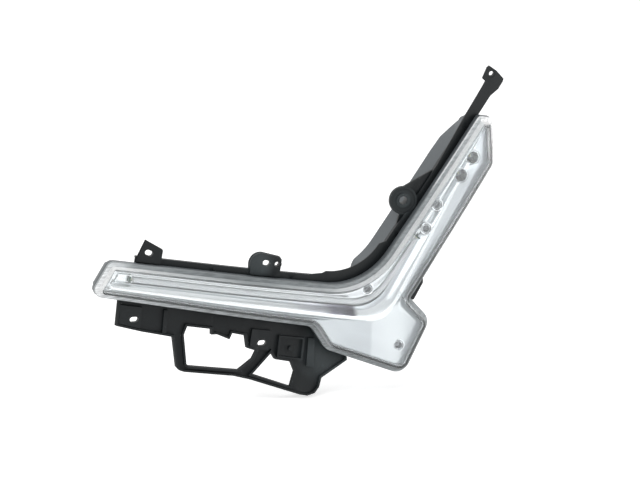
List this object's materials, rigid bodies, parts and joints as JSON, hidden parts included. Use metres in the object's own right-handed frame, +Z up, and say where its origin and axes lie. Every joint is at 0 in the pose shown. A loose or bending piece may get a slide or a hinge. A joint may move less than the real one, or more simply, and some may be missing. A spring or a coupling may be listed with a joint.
{
  "type": "daytime running light",
  "caption": "L-shaped corner lamp for a car's front bumper: clear lens over bright trim and a light guide, grey housing, and a black moulded mounting frame.",
  "frame": {"origin": "centre of the main fixing hole, at the front face of its round lug", "axes": "+X to the right as seen from in front of the lamp, towards the car's side; +Y to the back, away from the viewer and into the car; +Z up"},
  "size_m": [0.466, 0.144, 0.3306],
  "materials": {
    "clear_polycarbonate": "clear polycarbonate, polished",
    "clear_acrylic": "clear acrylic, polished",
    "aluminised_plastic": "vacuum-metallised plastic",
    "black_polypropylene": "moulded, satin",
    "grey_housing_plastic": "moulded, satin",
    "driver_plastic": "moulded, satin",
    "die_cast_aluminium": "die-cast",
    "zinc_plated_steel": "zinc plated",
    "sealing_rubber": "matt",
    "circuit_board": "solder resist",
    "led_package": "moulded resin",
    "tinned_brass": "tinned"
  },
  "bodies": {
    "root": {"outer_lens": "clear_polycarbonate", "lens_sealant": "sealing_rubber", "bright_trim": "aluminised_plastic", "light_guide": "clear_acrylic", "left_guide_board": "circuit_board", "right_guide_board": "circuit_board", "guide_leds": "led_package", "signal_reflector": "aluminised_plastic", "signal_board": "circuit_board", "signal_leds": "led_package", "signal_board_screws": "zinc_plated_steel", "housing": "grey_housing_plastic", "heat_sink": "die_cast_aluminium", "heat_sink_gasket": "sealing_rubber", "heat_sink_screws": "zinc_plated_steel", "driver_case": "driver_plastic", "driver_cover": "die_cast_aluminium", "driver_gasket": "sealing_rubber", "driver_screws": "zinc_plated_steel", "connector_pins": "tinned_brass", "left_vent_cap": "sealing_rubber", "right_vent_cap": "sealing_rubber", "trim_screws": "zinc_plated_steel", "mounting_frame": "black_polypropylene", "frame_screws": "zinc_plated_steel"}
  },
  "joints": []
}
